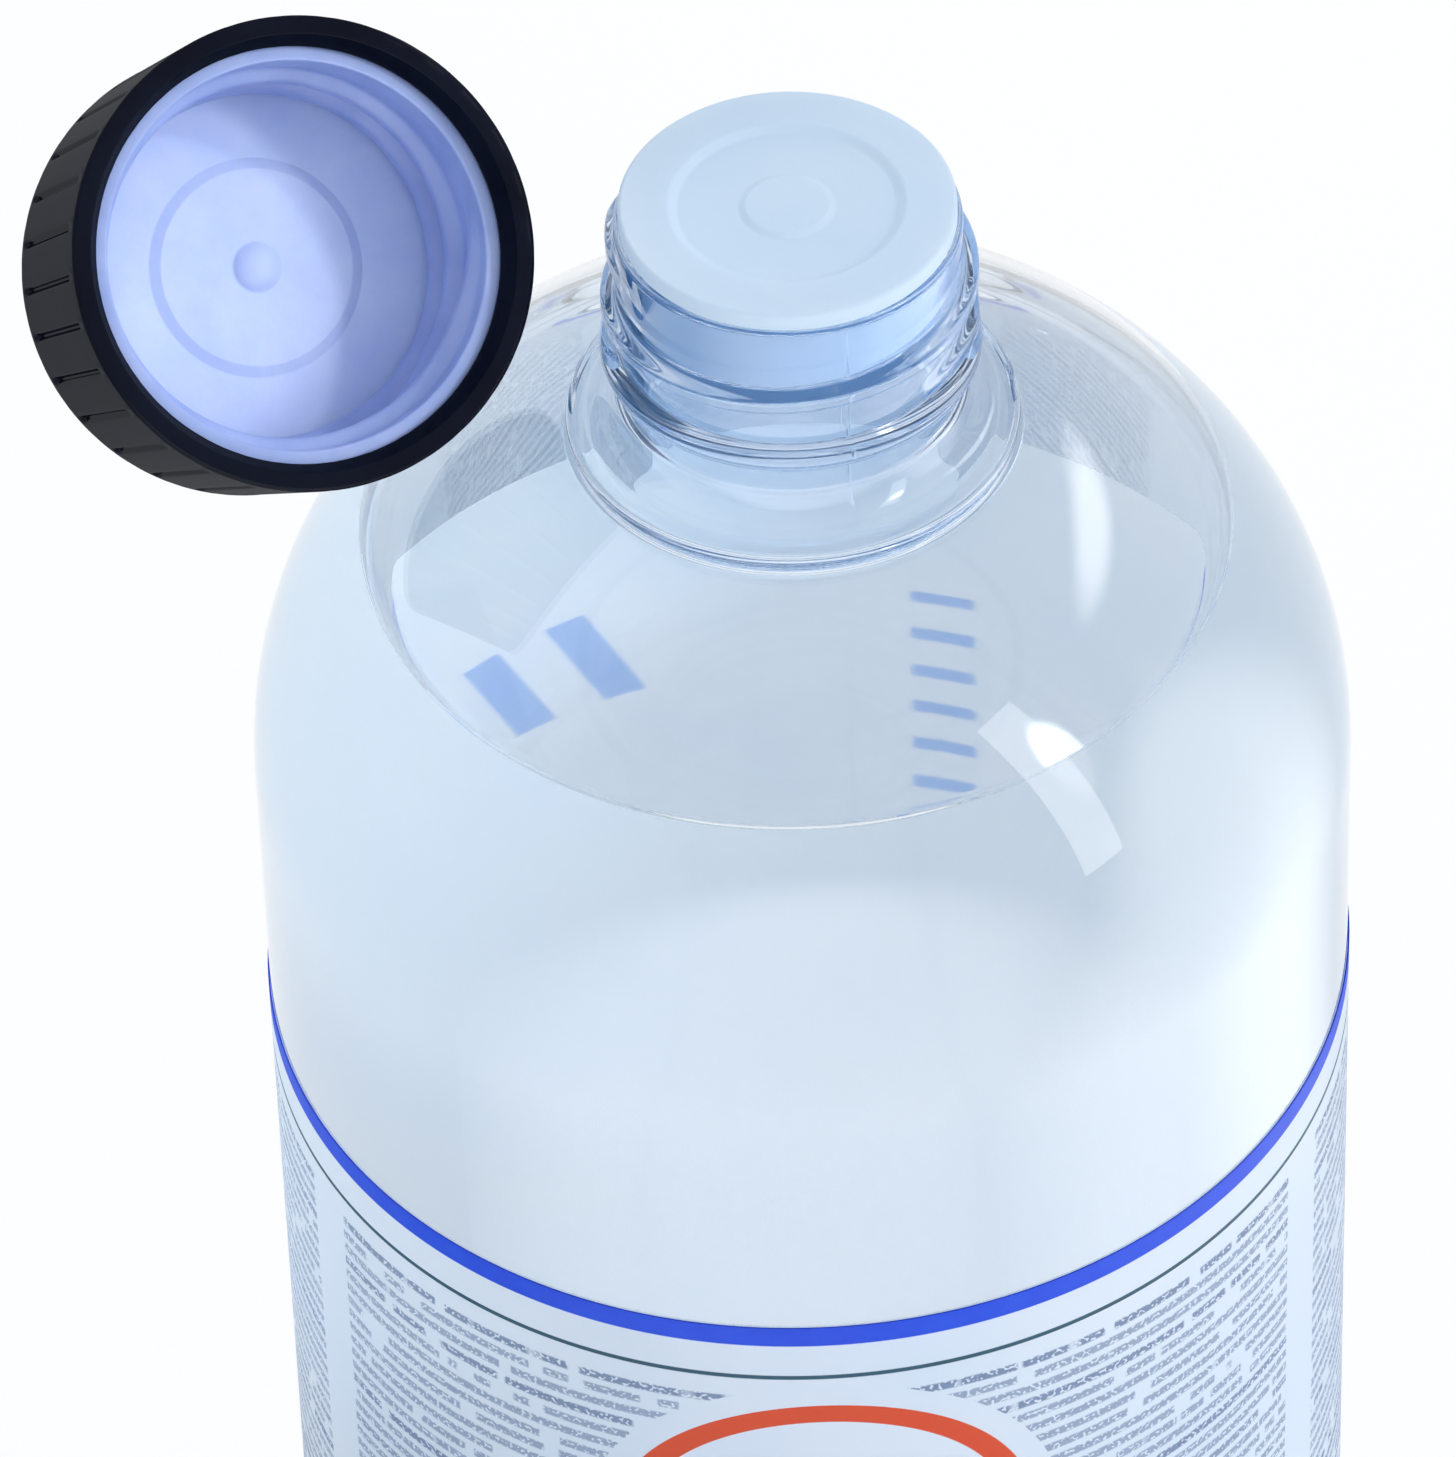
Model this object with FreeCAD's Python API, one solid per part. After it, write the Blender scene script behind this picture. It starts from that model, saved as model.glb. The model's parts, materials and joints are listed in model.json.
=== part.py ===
import FreeCAD, Part
import math
import os

# A clear round bottle with a plug in its neck and its two-piece screw cap taken off beside it.
# Millimetres. The bottle stands on z = 0 with its axis along Z, and its front faces -Y.

# Bottle body
bottle_height = 233.5
body_radius = 41.0
bottle_wall = 0.8
heel_radius = 7.0
foot_width = 5.0
base_rise = 5.0
shoulder_radius = 33.4

# Neck
neck_radius = 12.6
neck_bore_radius = 10.8
rim_round = 0.4
throat_radius = 3.5
support_ring_radius = 16.6
support_ring_thickness = 1.4
support_ring_drop = 18.05
bead_rise = 1.3
bead_height = 2.0
bead_drop = 11.5

# Screw thread, shared by the neck and the cap
thread_pitch = 4.23
thread_depth = 1.1
thread_root_width = 2.5
thread_crest_width = 1.0
thread_turns = 1.68
thread_low_drop = 9.8
thread_low_degrees = -45.0
thread_clearance = 0.3
thread_bury = 0.4
thread_fade_degrees = 35.0
thread_end_share = -0.1
thread_step_degrees = 15.0

# Liquid and label
fill_rise = 20.0
fill_gap = 0.05
label_gap = 0.03
label_thickness = 0.12
label_overlap = 8.0
label_below_shoulder = 20.9
label_above_heel = 5.0

# Neck plug
plug_seat_gap = 0.05
plug_fit = 0.08
plug_flange_inset = 0.4
plug_flange_thickness = 1.45
plug_panel_radius = 8.25
plug_panel_depth = 0.5
plug_boss_radius = 3.25
plug_boss_height = 0.3
plug_skirt_length = 7.0
plug_skirt_wall = 1.1
plug_chamfer = 0.5

# Cap outer shell, drawn standing on its mouth
cap_height = 20.0
cap_wall = 1.2
cap_top_thickness = 1.6
cap_corner_round = 1.2
cap_rim_round = 0.4
cap_lip_height = 2.0
cap_lip_chamfer = 1.5
cap_lip_overlap = 0.2
cap_band_height = 1.8
groove_count = 30
groove_width = 0.7
groove_depth = 0.35
groove_top_gap = 0.8
top_panel_inset = 3.0
top_panel_depth = 0.3

# Cap inner shell
push_travel = 1.5
shell_gap = 0.3
shell_mouth_gap = 0.7
lip_gap = 0.15
inner_mouth_wall = 1.2
inner_top_wall = 0.8
inner_panel_thickness = 1.4
cap_thread_turns = 1.25
cap_thread_low = 2.6
cap_thread_low_degrees = 20.0
retainer_rise = 1.5
retainer_height = 2.4

# Sealing disc
disc_gap = 0.15
disc_side_gap = 0.35
disc_thickness = 0.9
disc_boss_radius = 7.6
disc_boss_height = 0.35
disc_gate_radius = 1.95
disc_gate_height = 0.8

# Where the opened cap is held: its gap beside the thread, its mouth's centre from the plug's top,
# and the way its mouth faces
cap_side_gap = 3.7
cap_forward = 3.5
cap_below = 0.5
mouth_direction = FreeCAD.Vector(0.2966, -0.6658, 0.6846)

# Worked out from the sizes above
ring_middle_radius = support_ring_radius - support_ring_thickness / 2
ring_top_z = bottle_height - support_ring_drop
ring_low_z = ring_top_z - support_ring_thickness
shoulder_reach = ring_middle_radius - body_radius + shoulder_radius
shoulder_z = ring_low_z - math.sqrt(shoulder_radius**2 - shoulder_reach**2)
fill_z = shoulder_z + fill_rise
plug_top_z = bottle_height + plug_seat_gap + plug_flange_thickness
bead_radius = neck_radius + bead_rise
thread_crest_radius = neck_radius + thread_depth
inner_bore_radius = thread_crest_radius + thread_clearance
inner_mouth_radius = inner_bore_radius + inner_mouth_wall
inner_top_radius = inner_bore_radius + inner_top_wall
cap_rim_radius = inner_mouth_radius + shell_mouth_gap + cap_wall
cap_top_radius = inner_top_radius + shell_gap + cap_wall
cap_left = thread_crest_radius + cap_rim_radius + cap_side_gap
lip_radius = inner_mouth_radius - cap_lip_overlap
inner_low_z = cap_lip_height + lip_gap
inner_top_z = cap_height - cap_top_thickness - shell_gap - push_travel
panel_z = inner_top_z - inner_panel_thickness
disc_back_z = panel_z - disc_gap
disc_face_z = disc_back_z - disc_thickness

origin = FreeCAD.Vector(0, 0, 0)
up = FreeCAD.Vector(0, 0, 1)


def point(place):
    """A half section's (radius, height) as a point in space."""
    return FreeCAD.Vector(place[0], 0, place[1])


def on_circle(centre, radius, degrees):
    """The (radius, height) at an angle round a circle of a half section."""
    angle = math.radians(degrees)
    return (centre[0] + radius * math.cos(angle), centre[1] + radius * math.sin(angle))


def dome_middle(edge_radius, rise):
    """Radius and height above the edge, halfway up a round dome's arc."""
    sphere_radius = (edge_radius**2 + rise**2) / (2 * rise)
    half_angle = math.asin(edge_radius / sphere_radius) / 2
    return (sphere_radius * math.sin(half_angle), rise - sphere_radius * (1 - math.cos(half_angle)))


def turned(start, *steps):
    """A solid turned about Z. A step is the end of a line, or a point on an arc with the arc's end."""
    edges = []
    here = start
    for step in steps + (start,):
        if isinstance(step[0], tuple):
            through, end = step
            edges.append(Part.Arc(point(here), point(through), point(end)).toShape())
        else:
            end = step
            edges.append(Part.LineSegment(point(here), point(end)).toShape())
        here = end
    return Part.Face(Part.Wire(edges)).revolve(origin, up, 360)


def body_steps(inset, end_degrees):
    """The body's half section, moved in by inset, from the base's middle to an angle of the shoulder."""
    foot_outer = body_radius - heel_radius
    foot_inner = foot_outer - foot_width
    dome_radius, dome_height = dome_middle(foot_inner, base_rise)
    heel_centre = (foot_outer, heel_radius)
    shoulder_centre = (body_radius - shoulder_radius, shoulder_z)
    heel = heel_radius - inset
    shoulder = shoulder_radius - inset
    return [
        ((dome_radius, inset + dome_height), (foot_inner, inset)),
        (foot_outer, inset),
        (on_circle(heel_centre, heel, -45), on_circle(heel_centre, heel, 0)),
        (body_radius - inset, shoulder_z),
        (
            on_circle(shoulder_centre, shoulder, end_degrees / 2),
            on_circle(shoulder_centre, shoulder, end_degrees),
        ),
    ]


def shoulder_degrees_at_radius(inset, radius):
    """The angle round the shoulder's arc where it reaches a radius."""
    return math.degrees(math.acos((radius - body_radius + shoulder_radius) / (shoulder_radius - inset)))


def shoulder_height_at_radius(inset, radius):
    """The height of the shoulder's arc at a radius."""
    angle = math.radians(shoulder_degrees_at_radius(inset, radius))
    return shoulder_z + (shoulder_radius - inset) * math.sin(angle)


def thread_ridge(root_radius, crest_radius, low_z, low_degrees, turns):
    """A right-handed helical ridge on a round wall, fading into the wall at both ends."""
    rise = crest_radius - root_radius
    buried = root_radius - math.copysign(thread_bury, rise)
    whole_degrees = turns * 360
    step_count = round(whole_degrees / thread_step_degrees)
    sections = []
    for step in range(step_count + 1):
        gone = whole_degrees * step / step_count
        from_end = min(gone, whole_degrees - gone)
        crest = root_radius + rise * min(1, thread_end_share + from_end / thread_fade_degrees)
        z = low_z + thread_pitch * gone / 360
        corners = [
            point((buried, z - thread_root_width / 2)),
            point((crest, z - thread_crest_width / 2)),
            point((crest, z + thread_crest_width / 2)),
            point((buried, z + thread_root_width / 2)),
        ]
        section = Part.makePolygon(corners + corners[:1])
        section.rotate(origin, up, low_degrees + gone)
        sections.append(section)
    return Part.makeLoft(sections, True, False)


def bottle_shell():
    """The blown bottle with its neck: support ring, flare, bead and thread."""
    ring_middle_z = (ring_low_z + ring_top_z) / 2
    flare = ring_middle_radius - neck_radius
    flare_centre = (ring_middle_radius, ring_top_z + flare)
    bead_z = bottle_height - bead_drop
    outside = turned(
        (0, base_rise),
        *body_steps(0, shoulder_degrees_at_radius(0, ring_middle_radius)),
        ((support_ring_radius, ring_middle_z), (ring_middle_radius, ring_top_z)),
        (on_circle(flare_centre, flare, 225), on_circle(flare_centre, flare, 180)),
        (neck_radius, bead_z - bead_height / 2),
        ((bead_radius, bead_z), (neck_radius, bead_z + bead_height / 2)),
        (neck_radius, bottle_height - rim_round),
        (
            on_circle((neck_radius - rim_round, bottle_height - rim_round), rim_round, 45),
            (neck_radius - rim_round, bottle_height),
        ),
        (0, bottle_height),
    )
    throat_end = neck_bore_radius + throat_radius
    throat_centre = (throat_end, shoulder_height_at_radius(bottle_wall, throat_end) + throat_radius)
    cavity = turned(
        (0, base_rise + bottle_wall),
        *body_steps(bottle_wall, shoulder_degrees_at_radius(bottle_wall, throat_end)),
        (on_circle(throat_centre, throat_radius, 225), on_circle(throat_centre, throat_radius, 180)),
        (neck_bore_radius, bottle_height + rim_round),
        (0, bottle_height + rim_round),
    )
    ridge = thread_ridge(
        neck_radius,
        thread_crest_radius,
        bottle_height - thread_low_drop,
        thread_low_degrees,
        thread_turns,
    )
    return outside.cut(cavity).fuse(ridge).removeSplitter()


def liquid_fill():
    """The liquid, up to its level surface in the shoulder."""
    inset = bottle_wall + fill_gap
    level_degrees = math.degrees(math.asin(fill_rise / (shoulder_radius - inset)))
    return turned((0, base_rise + inset), *body_steps(inset, level_degrees), (0, fill_z))


def wrap_label():
    """The film round the body, with its glued overlap at the back."""
    low_z = heel_radius + label_above_heel
    height = shoulder_z - label_below_shoulder - low_z
    inside = body_radius + label_gap
    outside = inside + label_thickness
    overlap_degrees = math.degrees(label_overlap / outside)

    def tube(radius, degrees):
        cylinder = Part.makeCylinder(radius, height, FreeCAD.Vector(0, 0, low_z), up, degrees)
        cylinder.rotate(origin, up, 90 - degrees / 2)
        return cylinder

    flap = tube(outside + label_thickness, overlap_degrees)
    return tube(outside, 360).fuse(flap).cut(tube(inside, 360)).removeSplitter()


def neck_plug():
    """The plug: a flange on the rim with a recessed panel, and a skirt in the neck's bore."""
    flange_radius = neck_radius - plug_flange_inset
    flange_low_z = bottle_height + plug_seat_gap
    panel_z_top = plug_top_z - plug_panel_depth
    skirt_radius = neck_bore_radius - plug_fit
    skirt_inside = skirt_radius - plug_skirt_wall
    skirt_low_z = flange_low_z - plug_skirt_length
    return turned(
        (0, flange_low_z),
        (skirt_inside, flange_low_z),
        (skirt_inside, skirt_low_z),
        (skirt_radius - plug_chamfer, skirt_low_z),
        (skirt_radius, skirt_low_z + plug_chamfer),
        (skirt_radius, flange_low_z),
        (flange_radius, flange_low_z),
        (flange_radius, plug_top_z),
        (plug_panel_radius, plug_top_z),
        (plug_panel_radius, panel_z_top),
        (plug_boss_radius, panel_z_top),
        (plug_boss_radius, panel_z_top + plug_boss_height),
        (0, panel_z_top + plug_boss_height),
    )


def skirt_radius_at(z):
    """The cap's tapering outside radius at a height above its mouth."""
    return cap_rim_radius + (cap_top_radius - cap_rim_radius) * z / (cap_height - cap_corner_round)


def grip_groove():
    """One groove of the cap's grip, a wedge along the tapering skirt."""
    ends = []
    for z in (cap_band_height, cap_height - cap_corner_round - groove_top_gap):
        surface = skirt_radius_at(z)
        corners = [
            FreeCAD.Vector(surface - groove_depth, 0, z),
            FreeCAD.Vector(surface + groove_depth, groove_width, z),
            FreeCAD.Vector(surface + groove_depth, -groove_width, z),
        ]
        ends.append(Part.makePolygon(corners + corners[:1]))
    return Part.makeLoft(ends, True, True)


def cap_outer_shell():
    """The grooved shell, closed at the top, with a lip that keeps the inner shell in."""
    cavity_top_z = cap_height - cap_top_thickness
    corner_centre = (cap_top_radius - cap_corner_round, cap_height - cap_corner_round)
    rim_centre = (cap_rim_radius - cap_rim_round, cap_rim_round)
    panel_radius = cap_top_radius - top_panel_inset
    shell = turned(
        (0, cavity_top_z),
        (skirt_radius_at(cavity_top_z) - cap_wall, cavity_top_z),
        (skirt_radius_at(cap_lip_height) - cap_wall, cap_lip_height),
        (lip_radius, cap_lip_height),
        (lip_radius, cap_lip_chamfer),
        (lip_radius + cap_lip_chamfer / 2, 0),
        (cap_rim_radius - cap_rim_round, 0),
        (on_circle(rim_centre, cap_rim_round, -45), on_circle(rim_centre, cap_rim_round, 0)),
        (cap_top_radius, cap_height - cap_corner_round),
        (on_circle(corner_centre, cap_corner_round, 45), on_circle(corner_centre, cap_corner_round, 90)),
        (panel_radius, cap_height),
        (panel_radius - top_panel_depth, cap_height - top_panel_depth),
        (0, cap_height - top_panel_depth),
    )
    grooves = []
    for index in range(groove_count):
        groove = grip_groove()
        groove.rotate(origin, up, index * 360 / groove_count)
        grooves.append(groove)
    return shell.cut(Part.makeCompound(grooves))


def cap_inner_shell():
    """The threaded shell inside the cap, with a bead that keeps the sealing disc in."""
    retainer_top_z = disc_face_z - shell_gap
    retainer_z = retainer_top_z - retainer_height / 2
    shell = turned(
        (0, panel_z),
        (inner_bore_radius, panel_z),
        (inner_bore_radius, retainer_top_z),
        (
            (inner_bore_radius - retainer_rise, retainer_z),
            (inner_bore_radius, retainer_top_z - retainer_height),
        ),
        (inner_bore_radius, inner_low_z),
        (inner_mouth_radius, inner_low_z),
        (inner_top_radius, inner_top_z),
        (0, inner_top_z),
    )
    ridge = thread_ridge(
        inner_bore_radius,
        neck_radius + thread_clearance,
        inner_low_z + cap_thread_low,
        cap_thread_low_degrees,
        cap_thread_turns,
    )
    return shell.fuse(ridge).removeSplitter()


def cap_sealing_disc():
    """The disc under the inner shell's panel, with a raised middle and the mark of its gate."""
    boss_z = disc_face_z - disc_boss_height
    dome_radius, dome_height = dome_middle(disc_gate_radius, disc_gate_height)
    return turned(
        (0, disc_back_z),
        (inner_bore_radius - disc_side_gap, disc_back_z),
        (inner_bore_radius - disc_side_gap, disc_face_z),
        (disc_boss_radius, disc_face_z),
        (disc_boss_radius, boss_z),
        (disc_gate_radius, boss_z),
        ((dome_radius, boss_z - dome_height), (0, boss_z - disc_gate_height)),
    )


def opened(piece):
    """Carries a piece of the cap from standing on its mouth to where the opened cap is held."""
    turn = FreeCAD.Rotation(FreeCAD.Vector(0, 0, -1), mouth_direction)
    place = FreeCAD.Vector(-cap_left, -cap_forward, plug_top_z - cap_below)
    return piece.transformed(FreeCAD.Placement(place, turn).toMatrix())


pieces = {
    "bottle_shell": bottle_shell(),
    "liquid_fill": liquid_fill(),
    "wrap_label": wrap_label(),
    "neck_plug": neck_plug(),
    "cap_outer_shell": opened(cap_outer_shell()),
    "cap_inner_shell": opened(cap_inner_shell()),
    "cap_sealing_disc": opened(cap_sealing_disc()),
}

os.makedirs("parts", exist_ok=True)
for name, shape in pieces.items():
    shape.exportStep("parts/" + name + ".step")
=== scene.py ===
import json
import math

import bmesh
import bpy
import numpy as np
from mathutils import Matrix, Vector


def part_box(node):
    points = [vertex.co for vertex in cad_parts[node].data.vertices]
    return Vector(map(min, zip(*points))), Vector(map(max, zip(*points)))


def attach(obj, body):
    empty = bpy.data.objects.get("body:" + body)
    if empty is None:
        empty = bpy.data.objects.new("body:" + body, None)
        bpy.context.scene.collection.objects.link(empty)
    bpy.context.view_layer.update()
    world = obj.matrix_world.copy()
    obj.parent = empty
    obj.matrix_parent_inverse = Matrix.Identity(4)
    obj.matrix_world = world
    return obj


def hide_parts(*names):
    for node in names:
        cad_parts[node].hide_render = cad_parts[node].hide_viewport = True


# A clear round bottle of liquid with a plug in its neck, and its screw cap held open beside it.
# Half sections are written in millimetres as (radius, height). Everything in the scene is in metres.

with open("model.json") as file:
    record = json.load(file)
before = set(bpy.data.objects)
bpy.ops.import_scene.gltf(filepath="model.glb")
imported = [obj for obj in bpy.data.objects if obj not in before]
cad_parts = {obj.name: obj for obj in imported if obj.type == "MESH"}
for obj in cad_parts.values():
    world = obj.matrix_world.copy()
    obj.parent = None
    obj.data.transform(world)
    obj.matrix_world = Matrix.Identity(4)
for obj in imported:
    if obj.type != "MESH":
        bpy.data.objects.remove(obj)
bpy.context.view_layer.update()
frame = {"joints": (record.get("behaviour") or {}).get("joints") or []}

MM = 0.001


def low(node):
    """A solid's lowest corner, in millimetres."""
    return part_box(node)[0] / MM


def high(node):
    """A solid's highest corner, in millimetres."""
    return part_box(node)[1] / MM


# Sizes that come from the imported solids
bottle_height = high("bottle_shell").z
body_radius = high("bottle_shell").x
fill_z = high("liquid_fill").z
plug_top_z = high("neck_plug").z
plug_low_z = low("neck_plug").z
plug_flange_radius = high("neck_plug").x
label_low_z = low("wrap_label").z
label_high_z = high("wrap_label").z
label_outside = high("wrap_label").x
joints = {joint["name"]: joint for joint in frame["joints"]}
cap_mouth = Vector(joints["cap_turn"]["pos_m"])
cap_closed_way = Vector(joints["cap_turn"]["axis"])

# Bottle
bottle_wall = 0.8
heel_radius = 7.0
foot_width = 5.0
base_rise = 5.0
shoulder_radius = 33.4
neck_radius = 12.6
neck_bore_radius = 10.8
rim_round = 0.4
throat_radius = 3.5
support_ring_radius = 16.6
support_ring_thickness = 1.4
support_ring_drop = 18.05
bead_rise = 1.3
bead_height = 2.0
bead_drop = 11.5
seam_degrees = -72.0
seam_rise = 0.09
seam_half_degrees = 0.45
seam_reach_degrees = 1.1

# How strongly light bends where two of the clear things meet
air_to_plastic = 1.57
air_to_liquid = 1.33
liquid_to_plastic = 1.18

# The blue haze of the neck's thick plastic: its share of the surface, and how far below the ring it starts
neck_haze = 0.17
haze_below_ring = 2.0

# The span that a noise texture mostly keeps to
noise_span = (0.3, 0.7)

# Screw thread
thread_pitch = 4.23
thread_depth = 1.1
thread_root_width = 2.7
thread_crest_width = 0.7
thread_turns = 1.68
thread_low_drop = 9.8
thread_low_degrees = -45.0
thread_clearance = 0.3
thread_fade_degrees = 35.0
thread_end_share = -0.1

# Liquid
fill_gap = 0.05
meniscus_rise = 1.9
meniscus_reach = 2.4

# Label
label_thickness = 0.12
label_overlap = 8.0
label_skew = 0.017
stripe_height = 1.9
line_height = 0.42
row_pitch = 1.45
row_noise_step = 17.3
speck_edge = 0.02
row_span = (0.2, 0.75)
row_edge = 0.06
bold_rows = (0.7, 0.8)
faint_ink = 0.75
ring_z = 136.0
ring_radius = 15.5
ring_stroke = 1.8
flap_edge_degrees = 0.02

# Print on the label: across is the way round from the front's middle, and heights are from the floor
ring_clearance = 3.0
print_columns = ((4.5, 43.0), (48.0, 86.0))
print_heights = (34.0, 153.6)
band_reach = 88.0
line_heights = (155.5, 32.5, 17.5)
low_stripe = (20.0, 30.0)
stripe_past_edge = 1.0
scale_pitch = 6.5
scale_bar_foot = 0.3
scale_bar_height = 2.0
scale_heights = (40.0, 132.0)
scale_across = (115.0, 120.2)
block_slant = 0.32
block_z = 126.0
block_half_height = 8.0
block_half_width = 1.8
block_middles = (-112.3, -104.3)

# Plug
plug_flange_thickness = 1.45
plug_fit = 0.08
plug_panel_radius = 8.25
plug_panel_depth = 0.5
plug_boss_radius = 3.25
plug_boss_height = 0.3
plug_skirt_wall = 1.1
plug_chamfer = 0.5
plug_root_fillet = 0.4
plug_skirt_fillet = 0.15
flange_low_fillet = 0.12
flange_top_fillet = 0.35
plug_panel_slope = 0.3
plug_panel_fillet = 0.45
plug_boss_slope = 0.25
plug_boss_fillet = 0.4

# Cap, drawn standing on its mouth
cap_height = 20.0
cap_rim_radius = 17.1
cap_top_radius = 16.3
cap_wall = 1.2
cap_top_thickness = 1.6
cap_corner_round = 1.2
cap_lip_height = 2.0
cap_lip_radius = 15.0
cap_lip_chamfer = 1.5
cap_band_height = 1.8
groove_count = 30
groove_half_width = 0.35
groove_depth = 0.35
groove_top_gap = 0.8
groove_side_degrees = (0.4, 0.8, 1.18, 1.4, 2.6)
top_panel_inset = 3.0
top_panel_depth = 0.3
top_panel_fillet = 0.1
cap_cavity_fillet = 0.4
cap_lip_root_fillet = 0.1
cap_lip_edge_fillet = 0.15
cap_lip_chamfer_fillet = 0.3
cap_mouth_fillet = 0.12
cap_rim_fillet = 0.35
inner_bore_radius = 14.0
inner_mouth_radius = 15.2
inner_top_radius = 14.8
inner_low_z = 2.15
inner_top_z = 16.6
inner_panel_thickness = 1.4
liner_root_fillet = 0.1
liner_edge_height = 0.3
liner_mouth_fillet = 0.25
liner_top_fillet = 0.5
cap_thread_turns = 1.25
cap_thread_low = 2.6
cap_thread_low_degrees = 20.0
retainer_gap = 0.3
retainer_rise = 1.5
retainer_height = 2.4
disc_gap = 0.15
disc_side_gap = 0.35
disc_thickness = 0.9
disc_boss_radius = 7.6
disc_boss_height = 0.35
disc_gate_radius = 1.95
disc_gate_height = 0.8
disc_boss_slope = 0.4
disc_boss_fillet = 0.4
disc_edge_fillet = 0.2

# How finely the meshes are cut: steps along an outline, and columns round the axis
round_steps = 12
rim_steps = 6
fillet_steps = 5
shoulder_steps = 40
dry_shoulder_steps = 26
wet_shoulder_steps = 22
bead_steps = 14
neck_foot_steps = 4
thread_steps = 70
skirt_steps = 48
retainer_steps = 10
liner_steps = 60
gate_steps = 8
bottle_columns = 336
seam_columns = 9
liquid_columns = 240
label_columns = 240
plug_columns = 192
columns_per_groove = 3
liner_columns = 216
disc_columns = 192
same_place = 1e-6
near_enough = 0.01
weld_distance = 1e-8

# Camera, as the photograph was taken
camera_place = Vector((0.0, -0.6237, 0.7889))
camera_pitch = math.radians(44.19)
camera_roll = math.radians(-1.97)
camera_pan = math.radians(-0.508)
camera_sensor = 36.0
focal_pixels = 11636
image_pixels = 1457

# Lamps: place, what they face, and size, in metres. Radiance is in shares of the background's white.
key_lamp = dict(place=(0.88, -0.40, 0.75), towards=(0, 0, 0.23), size=(0.2, 0.5), radiance=36.0)
back_lamp = dict(place=(-0.15, 1.0, 0.5), towards=(0, 0, 0.12), size=(0.9, 0.5), radiance=1.5)
window = dict(place=(0.87, -0.50, 0.69), towards=(0, 0, 0.23), size=(0.19, 0.9), radiance=2.8)
back_window = dict(place=(0.74, 0.49, 0.87), towards=(0, 0, 0.23), size=(1.0, 0.22), radiance=5.0)
front_card = dict(place=(0.01, -0.25, 0.19), towards=(0, 0, 0.45), size=(0.62, 0.84), radiance=2.5)
right_card = dict(place=(0.25, -0.03, 0.17), towards=(0, 0, 0.42), size=(0.34, 0.80), radiance=2.4)
back_window_lean = -18
fade_edge = 0.5
fade_core = 0.15
cap_beam_from_mouth = Vector((0.149, -0.033, 0.125))
cap_beam_power = 0.75
cap_beam_degrees = 9.0
cap_beam_blend = 0.3
cap_beam_radius = 0.014
room_strength = 0.88
floor_half_width = 3.0
floor_white_share = 0.8
light_bounces = 32

# Worked out from the sizes above
ring_middle_radius = support_ring_radius - support_ring_thickness / 2
ring_top_z = bottle_height - support_ring_drop
ring_low_z = ring_top_z - support_ring_thickness
shoulder_centre_radius = body_radius - shoulder_radius
shoulder_z = ring_low_z - math.sqrt(shoulder_radius**2 - (ring_middle_radius - shoulder_centre_radius) ** 2)
bead_z = bottle_height - bead_drop
panel_z = inner_top_z - inner_panel_thickness
disc_back_z = panel_z - disc_gap
disc_face_z = disc_back_z - disc_thickness


# Half sections

def arc(centre, radius, start, end, steps):
    """Points round part of a circle, by degrees."""
    angles = [math.radians(start + (end - start) * step / steps) for step in range(steps + 1)]
    return [(centre[0] + radius * math.cos(a), centre[1] + radius * math.sin(a)) for a in angles]


def straight(start, end, steps):
    """Points along a line."""
    shares = [step / steps for step in range(steps + 1)]
    return [(start[0] + (end[0] - start[0]) * t, start[1] + (end[1] - start[1]) * t) for t in shares]


def dome(edge_radius, edge_z, rise, steps):
    """Points of a round dome, from its middle to its edge. With a negative rise it hangs down."""
    ball = (edge_radius**2 + rise**2) / (2 * abs(rise))
    spread = math.degrees(math.asin(edge_radius / ball))
    way = math.copysign(90, rise)
    centre = (0, edge_z + rise - math.copysign(ball, rise))
    return arc(centre, ball, way, way - math.copysign(spread, rise), steps)


def rounded_corner(before, here, after, fillet):
    """Points of a fillet at a corner, or the corner itself where the fillet is 0."""
    if fillet == 0:
        return [tuple(here)]
    back = (before - here).normalized()
    on = (after - here).normalized()
    half = back.angle(on) / 2
    middle = here + (back + on).normalized() * fillet / math.sin(half)
    start = here + back * fillet / math.tan(half) - middle
    end = here + on * fillet / math.tan(half) - middle
    sweep = math.pi - 2 * half
    points = []
    for step in range(fillet_steps + 1):
        t = step / fillet_steps
        turned = (start * math.sin((1 - t) * sweep) + end * math.sin(t * sweep)) / math.sin(sweep)
        points.append(tuple(middle + turned))
    return points


def filleted(*corners):
    """Points along straight runs between corners, each given as (radius, height, fillet)."""
    places = [Vector(corner[:2]) for corner in corners]
    points = [tuple(places[0])]
    for index in range(1, len(corners) - 1):
        points += rounded_corner(*places[index - 1:index + 2], corners[index][2])
    return points + [tuple(places[-1])]


def joined(*stretches):
    """Stretches of an outline as one, without points that repeat."""
    return slotted(*((0, stretch) for stretch in stretches))[0]


def slotted(*stretches):
    """An outline from stretches given as (material slot, points), and the slot of each of its runs."""
    points = []
    slots = []
    for slot, stretch in stretches:
        for place in stretch:
            if not points or math.dist(points[-1], place) > same_place:
                slots += [slot] * bool(points)
                points.append(place)
    return points, slots


def even_degrees(count):
    return np.arange(count) * 360 / count


def degrees_with(count, centres, offsets):
    """Angles round the axis, with extra ones beside some centres."""
    extra = [centre + offset for centre in centres for offset in offsets]
    return np.unique(np.round(np.concatenate([even_degrees(count), np.array(extra) % 360]), 4))


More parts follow.
